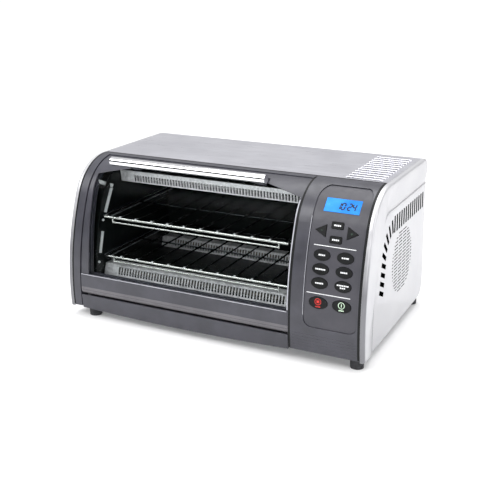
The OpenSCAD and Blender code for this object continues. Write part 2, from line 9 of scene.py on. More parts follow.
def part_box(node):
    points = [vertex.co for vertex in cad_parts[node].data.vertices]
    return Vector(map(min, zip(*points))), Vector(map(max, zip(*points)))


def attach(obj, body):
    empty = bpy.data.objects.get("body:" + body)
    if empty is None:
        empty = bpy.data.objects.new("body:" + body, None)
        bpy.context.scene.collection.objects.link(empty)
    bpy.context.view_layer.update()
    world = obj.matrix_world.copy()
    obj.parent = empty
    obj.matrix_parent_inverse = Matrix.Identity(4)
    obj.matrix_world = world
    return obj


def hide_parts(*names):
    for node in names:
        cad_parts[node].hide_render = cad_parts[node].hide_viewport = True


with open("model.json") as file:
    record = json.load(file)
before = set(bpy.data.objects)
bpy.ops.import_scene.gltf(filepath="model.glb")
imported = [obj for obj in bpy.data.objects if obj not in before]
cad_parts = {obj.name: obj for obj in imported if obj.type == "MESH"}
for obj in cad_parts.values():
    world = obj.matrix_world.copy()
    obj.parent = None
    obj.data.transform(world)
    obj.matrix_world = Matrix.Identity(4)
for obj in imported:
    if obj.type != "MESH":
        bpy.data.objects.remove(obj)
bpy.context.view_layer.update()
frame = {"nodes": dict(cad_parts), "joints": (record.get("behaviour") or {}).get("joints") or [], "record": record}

scene = bpy.context.scene
MM = 0.001

# ---- Stations taken from the frame ----
FRONT_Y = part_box("left_bezel")[0].y
SWEEP_R, BULGE_Z = 350 * MM, 56 * MM
CROWN_R, BLEND = 74 * MM, radians(22)
CROWN_Y = FRONT_Y + SWEEP_R - (SWEEP_R - CROWN_R) * cos(BLEND)
CROWN_Z = BULGE_Z + (SWEEP_R - CROWN_R) * sin(BLEND)
# Heights in this script count from the body's zero level, which is LIFT above the floor: the feet
# end FOOT_TOP above that level. add_piece raises every piece.
FOOT_TOP = 13 * MM
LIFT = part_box("feet")[1].z - FOOT_TOP


def linear(code):
    """A linear colour from an sRGB code such as 8a8a90."""
    parts = [int(code[i : i + 2], 16) / 255 for i in (0, 2, 4)]
    return tuple(c / 12.92 if c <= 0.04045 else ((c + 0.055) / 1.055) ** 2.4 for c in parts) + (1.0,)


# ---- Materials ----
class Finish:
    """A Principled material built from object-space noises, with helpers for each effect."""

    def __init__(self, name, rough, metal=0.0, **fixed):
        self.material = bpy.data.materials.new(name)
        self.material.use_nodes = True
        self.tree = self.material.node_tree
        self.tree.nodes.clear()
        self.shader = self.node("ShaderNodeBsdfPrincipled")
        self.output = self.node("ShaderNodeOutputMaterial")
        self.link(self.shader.outputs[0], self.output.inputs[0])
        self.shader.inputs["Roughness"].default_value = rough
        self.shader.inputs["Metallic"].default_value = metal
        for key, value in fixed.items():
            self.shader.inputs[key.replace("_", " ")].default_value = value
        self.coordinates = self.node("ShaderNodeTexCoord")
        self.place = self.coordinates.outputs["Object"]
        self.corner = None

    def node(self, kind):
        return self.tree.nodes.new(kind)

    def link(self, a, b):
        self.tree.links.new(a, b)

    def noise(self, scale, detail=3.0, stretch=(1, 1, 1), rough=0.55):
        mapping = self.node("ShaderNodeMapping")
        mapping.inputs["Scale"].default_value = stretch
        self.link(self.place, mapping.inputs["Vector"])
        tex = self.node("ShaderNodeTexNoise")
        tex.inputs["Scale"].default_value = scale
        tex.inputs["Detail"].default_value = detail
        tex.inputs["Roughness"].default_value = rough
        self.link(mapping.outputs[0], tex.inputs["Vector"])
        return tex.outputs["Fac"]

    def cells(self, scale, stretch=(1, 1, 1), output="Distance"):
        mapping = self.node("ShaderNodeMapping")
        mapping.inputs["Scale"].default_value = stretch
        self.link(self.place, mapping.inputs["Vector"])
        tex = self.node("ShaderNodeTexVoronoi")
        tex.inputs["Scale"].default_value = scale
        self.link(mapping.outputs[0], tex.inputs["Vector"])
        return tex.outputs[output]

    def remap(self, value, lo, hi, out_lo=0.0, out_hi=1.0):
        node = self.node("ShaderNodeMapRange")
        for name, number in (("From Min", lo), ("From Max", hi), ("To Min", out_lo), ("To Max", out_hi)):
            node.inputs[name].default_value = number
        self.link(value, node.inputs["Value"])
        return node.outputs[0]

    def math(self, operation, a, b):
        node = self.node("ShaderNodeMath")
        node.operation = operation
        for socket, value in zip(node.inputs, (a, b)):
            if isinstance(value, (int, float)):
                socket.default_value = value
            else:
                self.link(value, socket)
        return node.outputs[0]

    def blend(self, factor, a, b):
        node = self.node("ShaderNodeMix")
        node.data_type = "RGBA"
        self.link(factor, node.inputs[0])
        for socket, value in ((node.inputs[6], a), (node.inputs[7], b)):
            if isinstance(value, tuple):
                socket.default_value = value
            else:
                self.link(value, socket)
        return node.outputs[2]

    def colour(self, socket):
        self.link(socket, self.shader.inputs["Base Color"])

    def roughness(self, socket):
        self.link(socket, self.shader.inputs["Roughness"])

    def mottled(self, scale, detail, dark, light, lo=0.35, hi=0.65):
        """A colour that drifts between two tones."""
        return self.blend(self.remap(self.noise(scale, detail), lo, hi), linear(dark), linear(light))

    def uneven(self, scale, detail, smoothest, roughest, lo=0.3, hi=0.7):
        """Roughness that drifts between two values."""
        self.roughness(self.remap(self.noise(scale, detail), lo, hi, smoothest, roughest))

    def edges(self, radius=0.6 * MM):
        """Rounded edges in the shading, and a mask that is 1 along them."""
        bevel = self.node("ShaderNodeBevel")
        bevel.samples = 4
        bevel.inputs["Radius"].default_value = radius
        self.corner = bevel.outputs[0]
        geometry = self.node("ShaderNodeNewGeometry")
        dot = self.node("ShaderNodeVectorMath")
        dot.operation = "DOT_PRODUCT"
        self.link(bevel.outputs[0], dot.inputs[0])
        self.link(geometry.outputs["Normal"], dot.inputs[1])
        return self.remap(dot.outputs["Value"], 0.98, 0.8)

    def bump(self, height, depth):
        node = self.node("ShaderNodeBump")
        node.inputs["Strength"].default_value = 1.0
        node.inputs["Distance"].default_value = depth
        self.link(height, node.inputs["Height"])
        if self.corner is not None:
            self.link(self.corner, node.inputs["Normal"])
        self.link(node.outputs[0], self.shader.inputs["Normal"])

    def done(self):
        return self.material


# How much paler an edge is than the moulding it belongs to: partly rubbed plastic, partly a painted highlight
# where the edge would catch the light.
RUB_AND_HIGHLIGHT_GAIN = 2.6


def moulded(name, base, light, rough, grain=1500, depth=0.02 * MM, edge_rub_and_highlight=0.35, edge=0.5 * MM, **fixed):
    """Moulded plastic: faint mottling, a fine spark-eroded grain, and paler edges that are partly rubbed and
    partly a painted highlight.
    """
    f = Finish(name, rough, **fixed)
    body = f.mottled(38, 4, base, light)
    rim = f.math("MULTIPLY", f.edges(edge), f.remap(f.noise(160, 3), 0.4, 0.62, 0.15, 1.0))
    rub_and_highlight_tone = tuple(min(1.0, c * RUB_AND_HIGHLIGHT_GAIN) for c in linear(light)[:3]) + (1.0,)
    # The edges are lightened: partly rubbing, partly painted highlight.
    f.colour(f.blend(f.math("MULTIPLY", rim, edge_rub_and_highlight), body, rub_and_highlight_tone))
    f.uneven(90, 3, rough - 0.05, rough + 0.07)
    f.bump(f.noise(grain, 2), depth)
    return f.done()


def sheet_metal(name, base, light, rough, metal, direction, grain,
                depth=0.004 * MM, edge=0.5 * MM, slope=None):
    """Rolled or brushed sheet: streaks along one direction, faint clouding, bright cut edges.
    slope is a greyer tone, painted shade, for faces that turn towards the back, the floor or, low down, the front."""
    f = Finish(name, rough, metal)
    streak = f.noise(grain, 4, direction, 0.7)
    cloud = f.noise(14, 3)
    tone = f.math("ADD", f.math("MULTIPLY", streak, 0.6), f.math("MULTIPLY", cloud, 0.4))
    body = f.blend(f.remap(tone, 0.38, 0.62), linear(base), linear(light))
    # Painted shade: faces turned towards the back or the floor, and front faces low down, blend to the slope tone.
    if slope:
        facing = f.node("ShaderNodeSeparateXYZ")
        f.link(f.coordinates.outputs["Normal"], facing.inputs[0])
        rearward = f.remap(facing.outputs["Y"], 0.08, 0.35, 0.0, 0.45)
        downward = f.remap(facing.outputs["Z"], -0.06, -0.2, 0.0, 0.2)
        where = f.node("ShaderNodeSeparateXYZ")
        f.link(f.place, where.inputs[0])
        frontward = f.math("MULTIPLY", f.remap(facing.outputs["Y"], -0.12, -0.6, 0.0, 0.9),
                           f.remap(where.outputs["Z"], 0.17, 0.11, 0.0, 1.0))
        painted_shade_mask = f.math("MAXIMUM", f.math("MAXIMUM", rearward, downward), frontward)
        body = f.blend(painted_shade_mask, body, linear(slope))
    f.colour(f.blend(f.math("MULTIPLY", f.edges(edge), 0.4), body, (0.9, 0.9, 0.92, 1.0)))
    f.roughness(f.remap(streak, 0.3, 0.7, rough - 0.06, rough + 0.08))
    f.bump(streak, depth)
    return f.done()


def enamel(name):
    """Dark glossy enamel with sparse pale specks and slight orange peel."""
    f = Finish(name, 0.4, Specular_IOR_Level=0.22)
    specks = f.remap(f.cells(900), 0.12, 0.06)
    sparse = f.math("MULTIPLY", specks, f.remap(f.noise(700, 2), 0.5, 0.6))
    base = f.mottled(22, 3, "080c0b", "0f1413")
    f.colour(f.blend(f.math("MULTIPLY", sparse, 0.12), base, linear("6f7876")))
    f.uneven(120, 3, 0.34, 0.5)
    f.edges(0.6 * MM)
    f.bump(f.noise(420, 2), 0.02 * MM)
    return f.done()


def spangled(name):
    """Aluminised steel: soft crystal spangle with a satin sheen."""
    f = Finish(name, 0.42, 0.45)
    grey = f.node("ShaderNodeRGBToBW")
    f.link(f.cells(260, output="Color"), grey.inputs[0])
    f.colour(f.blend(f.remap(grey.outputs[0], 0.2, 0.8), linear("d6d4d6"), linear("f0eef0")))
    f.roughness(f.remap(grey.outputs[0], 0.2, 0.8, 0.34, 0.5))
    f.edges(0.4 * MM)
    f.bump(f.noise(600, 2), 0.006 * MM)
    return f.done()


def polished(name):
    """Chrome plate with very faint hairline scratches and clouding."""
    f = Finish(name, 0.07, 1.0)
    hair = f.noise(500, 2, (0.02, 1, 1), 0.6)
    f.colour(f.mottled(40, 3, "e4e4e8", "f2f2f4"))
    f.roughness(f.remap(hair, 0.3, 0.75, 0.04, 0.14))
    f.edges(0.5 * MM)
    f.bump(hair, 0.0004 * MM)
    return f.done()


def rack_wire(name):
    """Plated wire, bright along the front of the rack and darker further in, as painted shade where the wires
    would mirror the dark oven inside.
    """
    f = Finish(name, 0.2, 1.0)
    split = f.node("ShaderNodeSeparateXYZ")
    f.link(f.place, split.inputs[0])
    # Painted shade: behind the front wire the colour turns dark grey.
    inner = f.remap(split.outputs["Y"], FRONT_Y + 33 * MM, FRONT_Y + 40 * MM)
    f.colour(f.blend(inner, linear("bcbdb9"), f.mottled(60, 3, "2c2e2f", "4a4c4d")))
    f.uneven(200, 3, 0.14, 0.3)
    f.bump(f.noise(900, 2), 0.002 * MM)
    return f.done()


def sheath(name):
    """Heater sheath: dull grey-brown oxide in blotches."""
    f = Finish(name, 0.55, 0.5)
    f.colour(f.mottled(110, 4, "57514c", "8d857c"))
    f.uneven(300, 3, 0.45, 0.68)
    f.bump(f.noise(1500, 2), 0.01 * MM)
    return f.done()


def ceramic(name):
    """Unglazed white ceramic."""
    f = Finish(name, 0.6)
    f.colour(f.mottled(200, 3, "d9d2c2", "efeadf"))
    f.uneven(260, 3, 0.5, 0.7)
    f.bump(f.noise(1800, 2), 0.01 * MM)
    return f.done()


def matt(name, dark, light, **fixed):
    """Dull rubber or paint with a coarse grain."""
    f = Finish(name, 0.8, **fixed)
    f.colour(f.mottled(300, 3, dark, light))
    f.uneven(260, 3, 0.7, 0.9)
    f.edges(0.6 * MM)
    f.bump(f.noise(1600, 2), 0.03 * MM)
    return f.done()


def ink(name, shade, dark, rough=0.45):
    """Printed ink with slightly uneven coverage."""
    f = Finish(name, rough)
    f.colour(f.mottled(900, 3, dark, shade, 0.3, 0.6))
    f.uneven(700, 2, rough - 0.08, rough + 0.1)
    return f.done()


def backlit(name):
    """Blue display: lit from behind, slightly clouded, with a fine grid."""
    f = Finish(name, 0.22)
    cloud = f.noise(30, 2)
    grid = f.noise(2600, 1)
    tone = f.math("ADD", f.math("MULTIPLY", cloud, 0.75), f.math("MULTIPLY", grid, 0.25))
    shade = f.blend(f.remap(tone, 0.35, 0.65), linear("1369c4"), linear("2a86dc"))
    f.colour(shade)
    f.link(shade, f.shader.inputs["Emission Color"])
    f.shader.inputs["Emission Strength"].default_value = 0.3
    f.roughness(f.remap(cloud, 0.3, 0.7, 0.16, 0.28))
    return f.done()


def board(name):
    """Green circuit board with paler traces."""
    f = Finish(name, 0.45)
    traces = f.remap(f.cells(220, (1, 0.2, 1)), 0.25, 0.3)
    f.colour(f.blend(traces, linear("1f6b3c"), linear("2f8750")))
    f.uneven(300, 3, 0.36, 0.55)
    f.bump(traces, 0.02 * MM)
    return f.done()


def clear_glass(name):
    """Thin tempered glass: nearly clear head on, mirror-like at a slant, with a very faint haze."""
    f = Finish(name, 0.03, 1.0)
    f.colour(f.mottled(25, 3, "d8dcdd", "eceeef"))
    f.uneven(12, 2, 0.012, 0.03, 0.35, 0.7)
    f.tree.links.remove(f.output.inputs[0].links[0])
    through = f.node("ShaderNodeBsdfTransparent")
    through.inputs["Color"].default_value = (0.93, 0.945, 0.945, 1.0)
    slant = f.node("ShaderNodeLayerWeight")
    slant.inputs["Blend"].default_value = 0.2
    share = f.remap(slant.outputs["Fresnel"], 0.04, 1.0, 0.001, 0.4)
    mix = f.node("ShaderNodeMixShader")
    f.link(share, mix.inputs[0])
    f.link(through.outputs[0], mix.inputs[1])
    f.link(f.shader.outputs[0], mix.inputs[2])
    f.link(mix.outputs[0], f.output.inputs[0])
    return f.done()


FRAME_GREY = moulded("frame_grey", "34343b", "3d3d45", 0.36, edge_rub_and_highlight=0.6, edge=0.9 * MM)
# A grey for the painted shade band under the door's curl.
CURL_SHADE_GREY = moulded("curl_shade_grey", "5a585c", "636165", 0.5, edge_rub_and_highlight=0.2)
# A pale grey for painted highlight strips along edges.
EDGE_HIGHLIGHT_GREY = moulded("painted_highlight_grey", "a2a3ab", "b4b5bc", 0.4, edge_rub_and_highlight=0.2)
# Black without shine, for the painted shade inside the side panels' slots.
SLOT_SHADE = matt("slot_painted_shade", "010101", "030303", Specular_IOR_Level=0.0)
PLATE_GREY = moulded("plate_grey", "35353c", "3d3c43", 0.46, grain=1900, depth=0.03 * MM, edge_rub_and_highlight=0.2)
KEY_BLACK = moulded("key_black", "050607", "0c0e0f", 0.5, grain=2000, depth=0.01 * MM, edge_rub_and_highlight=0.25,
                    Specular_IOR_Level=0.25)
DARK_PLASTIC = moulded("dark_plastic", "141416", "1e1e21", 0.55, edge_rub_and_highlight=0.15)
# The side panels' silver carries painted shade on its turned faces (slope).
SIDE_SILVER = sheet_metal("side_silver", "bcbcc0", "c8c8ca", 0.36, 0.55, (1, 1, 0.06), 420,
                          depth=0.002 * MM, edge=0.8 * MM, slope="6c6c70")
TOP_STEEL = sheet_metal("top_steel", "bdbdc4", "d2d2d8", 0.33, 0.8, (0.04, 1, 1), 520)
ZINC = sheet_metal("zinc_steel", "9c9ea2", "b5b7bb", 0.42, 0.8, (0.15, 1, 1), 180)
ENAMEL = enamel("cavity_enamel")
GUARD = spangled("guard_steel")
CHROME = polished("chrome")
WIRE = rack_wire("rack_wire")
JAMB_STEEL = sheet_metal("jamb_steel", "c8cacb", "dcdddd", 0.38, 0.3, (1, 0.3, 1), 300)
SHEATH = sheath("element_sheath")
CERAMIC = ceramic("ceramic_white")
RUBBER = matt("foot_rubber", "232326", "36363a")
DISPLAY = backlit("display_blue")
BOARD = board("circuit_board")
GLASS = clear_glass("door_glass_clear")
FAN_METAL = sheet_metal("fan_metal", "85878b", "9c9ea2", 0.4, 0.8, (1, 0.2, 1), 200)
INK_WHITE = ink("ink_white", "f0f1f2", "c4c7ca")
INK_DARK = ink("ink_dark", "03060c", "060c18", 0.7)
INK_DIM = ink("ink_dim", "2f4638", "26382e", 0.6)
INK_RED = ink("ink_red", "d8261c", "a01812")
INK_GREEN = ink("ink_green", "dff2dd", "9fcf9f")

SLOT_FINISH = {
    "frame_grey": FRAME_GREY, "plate_grey": PLATE_GREY, "key_black": KEY_BLACK, "display": DISPLAY,
    "dark_plastic": DARK_PLASTIC, "foot_rubber": RUBBER, "board": BOARD, "side_silver": SIDE_SILVER,
    "top_steel": TOP_STEEL, "zinc_steel": ZINC, "cavity_dark": ENAMEL, "guard_steel": GUARD,
    "element_sheath": SHEATH, "ceramic": CERAMIC, "chrome": CHROME, "glass": GLASS, "fan_metal": FAN_METAL,
}
for part in frame["record"]["subparts"]:
    data = frame["nodes"][part["node"]].data
    data.materials.clear()
    data.materials.append(WIRE if part["node"].endswith("rack") else SLOT_FINISH[part["material_slot"]])


# ---- Mesh helpers ----
def add_piece(name, mesh, finish, body):
    """Adds a mesh to the scene as one piece that rides on a body of the frame."""
    mesh.transform(Matrix.Translation((0, 0, LIFT)))
    obj = bpy.data.objects.new(name, mesh)
    scene.collection.objects.link(obj)
    mesh.materials.append(finish)
    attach(obj, body)
    return obj


def spot_on_front(x, lean):
    """Local axes on the long sweep: X right, Y up along the surface, Z straight out."""
    y = FRONT_Y + SWEEP_R * (1 - cos(lean))
    z = BULGE_Z + SWEEP_R * sin(lean)
    return Matrix(((1, 0, 0, x), (0, sin(lean), -cos(lean), y), (0, cos(lean), sin(lean), z), (0, 0, 0, 1)))


def spot_on_crown(x, tilt):
    """The same on the bend into the top, at an angle above the horizontal."""
    y = CROWN_Y - CROWN_R * cos(tilt)
    z = CROWN_Z + CROWN_R * sin(tilt)
    return Matrix(((1, 0, 0, x), (0, sin(tilt), -cos(tilt), y), (0, cos(tilt), sin(tilt), z), (0, 0, 0, 1)))


def joined(bm, bottom, top):
    """The two ends and the sides of a closed prism."""
    bm.faces.new(bottom)
    bm.faces.new(list(reversed(top)))
    for i in range(len(bottom)):
        k = (i + 1) % len(bottom)
        bm.faces.new((bottom[i], bottom[k], top[k], top[i]))


def slab(bm, outline, low, high, spot):
    """A closed prism from an outline in millimetres, between two heights above a spot."""
    joined(bm, *([bm.verts.new(spot @ Vector((u * MM, v * MM, w * MM))) for u, v in outline]
                 for w in (low, high)))


def prism(bm, outline, x0, x1):
    """A closed prism along X from an outline of (y, z) points in millimetres."""
    joined(bm, *([bm.verts.new((x * MM, FRONT_Y + y * MM, z * MM)) for y, z in outline]
                 for x in (x0, x1)))


def closed_rings(bm, rings):
    """A closed skin over a row of rings with equal numbers of points."""
    for a, b in zip(rings, rings[1:]):
        for i in range(len(a)):
            k = (i + 1) % len(a)
            bm.faces.new((a[i], a[k], b[k], b[i]))
    bm.faces.new(rings[0])
    bm.faces.new(rings[-1])


def ring_slab(bm, height, outer, inner, low, high, spot, steps=40):
    """A closed flat ring, whose middle is height above the spot's own."""
    loops = []
    for radius, w in ((outer, low), (outer, high), (inner, high), (inner, low)):
        loops.append([
            bm.verts.new(spot @ Vector((radius * cos(turn) * MM, (height + radius * sin(turn)) * MM, w * MM)))
            for turn in (2 * pi * i / steps for i in range(steps))
        ])
    for a in range(4):
        b = (a + 1) % 4
        for i in range(steps):
            k = (i + 1) % steps
            bm.faces.new((loops[a][i], loops[a][k], loops[b][k], loops[b][i]))


def finish_mesh(bm, name):
    """The mesh with its faces turned outwards."""
    bmesh.ops.recalc_face_normals(bm, faces=bm.faces)
    mesh = bpy.data.meshes.new(name)
    bm.to_mesh(mesh)
    bm.free()
    return mesh


def bar(u0, u1, v0, v1, cut=0.25):
    """A bar with clipped corners."""
    return [(u0 + cut, v0), (u1 - cut, v0), (u1, v0 + cut), (u1, v1 - cut),
            (u1 - cut, v1), (u0 + cut, v1), (u0, v1 - cut), (u0, v0 + cut)]


# ---- Key legends: generic bars and plain symbols ----
# Heights above the front curve, in millimetres: the keys' faces, and how thick the print is.
KEY_TOP = -0.2
INK_T = 0.12


def key_spot(name):
    """The middle of a key, leaning the way the key is pressed."""
    axis = next(j for j in frame["joints"] if j["child"] == name + "_body")["axis"]
    low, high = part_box(name)
    return spot_on_front((low.x + high.x) / 2, atan2(-axis[2], axis[1]))


def printed(bm, outline, spot, base=KEY_TOP):
    slab(bm, outline, base, base + INK_T, spot)


def legend_bars(bm, spot, widths, height, v, gap=0.55):
    """A row of bars that stands in for a printed word."""
    total = sum(widths) + gap * (len(widths) - 1)
    u = -total / 2
    for width in widths:
        printed(bm, bar(u, u + width, v - height / 2, v + height / 2), spot)
        u += width + gap


# For each key, its rows: the bars' widths, their height, and the row's height above the key's middle.
LEGENDS = {
    "upper_small_key": [([2.2, 1.4, 2.4, 1.8], 2.1, 0)],
    "lower_small_key": [([2.0, 1.8, 2.6, 1.6], 2.1, 0)],
    "oval_key_1": [([2.0, 1.8, 1.7, 2.0], 2, 0)],
    "oval_key_2": [([1.9, 2.2, 1.6, 2.3], 2, 0)],
    "oval_key_3": [([2.0, 1.6, 2.0, 2.2, 1.6, 1.9], 2, 0)],
    "oval_key_4": [([1.8, 2.1, 1.7, 2.2], 2, 0)],
    "oval_key_5": [([1.6, 2.0, 1.8, 1.9, 1.7], 2, 0)],
    "oval_key_6": [([1.9, 1.7, 2.0, 1.8, 2.1, 1.6, 2.0], 1.8, 1.5), ([2.1, 1.9, 2.2], 1.8, -1.7)],
}
for key_name, lines in LEGENDS.items():
    bm = bmesh.new()
    for widths, height, v in lines:
        legend_bars(bm, key_spot(key_name), widths, height, v)
    mesh = finish_mesh(bm, key_name + "_legend")
    add_piece(key_name + "_legend", mesh, INK_WHITE, key_name + "_body")

# A minus sign on the left arrow and a plus sign on the right one.
SIGN_HALF, SIGN_PEN, SIGN_CUT = 1.5, 0.35, 0.1
for key_name, side, plus in (("left_arrow_key", 2.2, False), ("right_arrow_key", -2.2, True)):
    bm = bmesh.new()
    where = key_spot(key_name)
    printed(bm, bar(side - SIGN_HALF, side + SIGN_HALF, -SIGN_PEN, SIGN_PEN, SIGN_CUT), where)
    if plus:
        printed(bm, bar(side - SIGN_PEN, side + SIGN_PEN, SIGN_PEN, SIGN_HALF, SIGN_CUT), where)
        printed(bm, bar(side - SIGN_PEN, side + SIGN_PEN, -SIGN_HALF, -SIGN_PEN, SIGN_CUT), where)
    mesh = finish_mesh(bm, key_name + "_sign")
    add_piece(key_name + "_sign", mesh, INK_DIM, key_name + "_body")

# A ring on both lower keys: a square inside it to stop, an upright bar inside it to start.
STOP_MARK = bar(-1.9, 1.9, -0.3, 3.5, 0.3)
START_MARK = bar(-0.5, 0.5, -0.6, 3.8, 0.1)
for key_name, finish, mark in (("stop_key", INK_RED, STOP_MARK), ("start_key", INK_GREEN, START_MARK)):
    bm = bmesh.new()
    where = key_spot(key_name)
    ring_slab(bm, 1.6, 4.6, 3.8, KEY_TOP, KEY_TOP + INK_T, where)
    printed(bm, mark, where)
    legend_bars(bm, where, [1.5, 1.4, 1.6, 1.4], 1.5, -5.2, 0.4)
    mesh = finish_mesh(bm, key_name + "_symbol")
    add_piece(key_name + "_symbol", mesh, finish, key_name + "_body")

# ---- Printed dividers on the plate, and moulded ridges below it ----
plate_low, plate_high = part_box("control_inset")
PLATE_TOP = -1.2
# Each divider's height, left end and right end, then each ridge's height.
DIVIDERS = ((161, -30.5, 29), (98, -34.5, 27))
RIDGES = (20, 24.5, 29, 33.5, 38)


def lean_at(z):
    """How far the front leans back at a height."""
    return atan2(z - BULGE_Z, sqrt(SWEEP_R**2 - (z - BULGE_Z) ** 2))


plate_mid = (plate_low.x + plate_high.x) / 2
bm = bmesh.new()
for z, u0, u1 in DIVIDERS:
    printed(bm, bar(u0, u1, -0.5, 0.5, 0.2), spot_on_front(plate_mid, lean_at(z * MM)), PLATE_TOP)
add_piece("panel_dividers", finish_mesh(bm, "panel_dividers"), INK_WHITE, "case")

bm = bmesh.new()
for z in RIDGES:
    slab(bm, bar(-55, 39, -0.6, 0.6, 0.4), -0.1, 0.12, spot_on_front(plate_mid, lean_at(z * MM)))
add_piece("panel_ridges", finish_mesh(bm, "panel_ridges"), FRAME_GREY, "case")

# ---- Display digits ----
SEGMENTS = {"0": "abcdef", "1": "bc", "2": "abged", "4": "fgbc"}


def segment(kind, w, h, t):
    """One bar of a seven-segment digit, as an outline whose lower left corner is the digit's."""
    s, gap = t / 2, 0.12
    level = {"a": h, "g": h / 2, "d": 0}
    if kind in level:
        v, a, b = level[kind], gap, w - gap
        return [(a, v), (a + s, v + s), (b - s, v + s), (b, v), (b - s, v - s), (a + s, v - s)]
    u = 0 if kind in "fe" else w
    a, b = (h / 2 + gap, h - gap) if kind in "fb" else (gap, h / 2 - gap)
    return [(u, a), (u + s, a + s), (u + s, b - s), (u, b), (u - s, b - s), (u - s, a + s)]


lens_low, lens_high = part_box("display_lens")
lens = spot_on_crown((lens_low.x + lens_high.x) / 2, radians(45))
LENS_TOP, DIGIT_RAISE = -1.6, 0.1
DIGIT_W, DIGIT_H, STROKE, SLANT = 4.3, 10, 1.75, 0.12
DIGIT_PITCH, COLON_PITCH = 6.3, 2.6
FIRST_DIGIT, DIGIT_FOOT = -8.3, -5.6
bm = bmesh.new()
pen = FIRST_DIGIT
for mark in "10:24":
    if mark == ":":
        outlines = [[(pen + SLANT * v + du, v + dv) for du, dv in ((0, 0), (1, 0), (1, 1), (0, 1))]
                    for v in (-2.2, 1.6)]
        step = COLON_PITCH
    else:
        bars = [segment(kind, DIGIT_W, DIGIT_H, STROKE) for kind in SEGMENTS[mark]]
        outlines = [[(pen + u + SLANT * v, v + DIGIT_FOOT) for u, v in points] for points in bars]
        step = DIGIT_PITCH
    for outline in outlines:
        slab(bm, outline, LENS_TOP, LENS_TOP + DIGIT_RAISE, lens)
    pen += step
add_piece("display_digits", finish_mesh(bm, "display_digits"), INK_DARK, "case")

# ---- Strips that follow the curved front ----
def front_path(inset, low, high, back=None, steps=36):
    """Points (y, z) on the front, drawn in by inset, from one height to another.
    With back, the path goes on over the bend and along the top to that depth."""
    sweep, bend = SWEEP_R - inset, CROWN_R - inset
    first = asin((low - BULGE_Z) / sweep)
    switch = BULGE_Z + sweep * sin(BLEND)
    last = asin(min(1.0, (high - BULGE_Z) / sweep)) if high <= switch else BLEND
    points = []
    for i in range(steps + 1):
        a = first + (last - first) * i / steps
        points.append((FRONT_Y + SWEEP_R - sweep * cos(a), BULGE_Z + sweep * sin(a)))
    if high > switch:
        end = asin(min(1.0, (high - CROWN_Z) / bend)) if back is None else pi / 2
        for i in range(1, steps + 1):
            a = BLEND + (end - BLEND) * i / steps
            points.append((CROWN_Y - bend * cos(a), CROWN_Z + bend * sin(a)))
        if back is not None:
            points.append((back, CROWN_Z + bend))
    return points


def front_strip(name, x0, x1, in0, in1, low, high, finish, body, back=None):
    """A closed strip from x0 to x1, between two insets of the front curve and two heights."""
    bm = bmesh.new()
    outer, inner = (front_path(inset * MM, low * MM, high * MM, back) for inset in (in0, in1))
    closed_rings(bm, [
        [bm.verts.new((x * MM, y, z)) for x, (y, z) in ((x0, o), (x1, o), (x1, i), (x0, i))]
        for o, i in zip(outer, inner)
    ])
    add_piece(name, finish_mesh(bm, name), finish, body)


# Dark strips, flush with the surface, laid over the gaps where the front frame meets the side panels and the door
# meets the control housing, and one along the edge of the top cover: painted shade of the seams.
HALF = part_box("base_pan")[1].x / MM + 1
SEAM_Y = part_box("control_housing")[1].y
# Where the shade strips start, and a height past the bend, which takes them on along the top.
SHADE_STRIP_FOOT, OVER_THE_TOP = 14, 300
for side, wide, name in ((-1, 2.7, "left_seam_shade"), (1, 3.6, "right_seam_shade")):
    x0, x1 = sorted((side * (HALF - 0.05), side * (HALF - wide)))
    front_strip(name, x0, x1, -0.04, 1.2, SHADE_STRIP_FOOT, OVER_THE_TOP, KEY_BLACK, "case",
                back=SEAM_Y - 1 * MM)
door_low, door_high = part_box("door_frame")
front_strip("door_seam_shade", door_high.x / MM + 0.25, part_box("control_housing")[0].x / MM + 0.6, -0.06, 1.2,
            SHADE_STRIP_FOOT, OVER_THE_TOP, KEY_BLACK, "case", back=SEAM_Y - 14 * MM)
top_z = (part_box("control_housing")[1].z - LIFT) / MM
seam = SEAM_Y / MM - FRONT_Y / MM
# A dark strip along the top cover's seam: painted shade.
bm = bmesh.new()
prism(bm, [(seam + 0.1, top_z - 3), (seam + 0.9, top_z - 3), (seam + 0.9, top_z + 0.15),
           (seam - 2.2, top_z + 0.15), (seam - 2.2, top_z + 0.02), (seam + 0.1, top_z + 0.02)],
      -HALF + 2, HALF - 2)
add_piece("top_seam_shade", finish_mesh(bm, "top_seam_shade"), DARK_PLASTIC, "case")

# Darker band where the door's lower edge curls under, about the hinge line, carried a little way up the front: a
# separate grey laid on as painted shade.
hinge = next(j for j in frame["joints"] if j["name"] == "door_hinge")["pos_m"]
CURL_OUT, CURL_IN, CURL_STEPS = 8.39, 8.2, 24
CURL_START, CURL_SWEEP = 4, 76
band_x0, band_x1 = door_low.x / MM + 0.4, door_high.x / MM - 0.4
bm = bmesh.new()
closed_rings(bm, [
    [bm.verts.new((x * MM, hinge[1] - r * MM * cos(a), hinge[2] - LIFT - r * MM * sin(a)))
     for x, r in ((band_x0, CURL_OUT), (band_x1, CURL_OUT), (band_x1, CURL_IN), (band_x0, CURL_IN))]
    for a in (radians(CURL_START + CURL_SWEEP * i / CURL_STEPS) for i in range(CURL_STEPS + 1))
])
add_piece("door_under_band", finish_mesh(bm, "door_under_band"), CURL_SHADE_GREY, "door")
front_strip("door_lower_band", band_x0, band_x1, -0.1, 0.1, 41, 45.5, CURL_SHADE_GREY, "door")

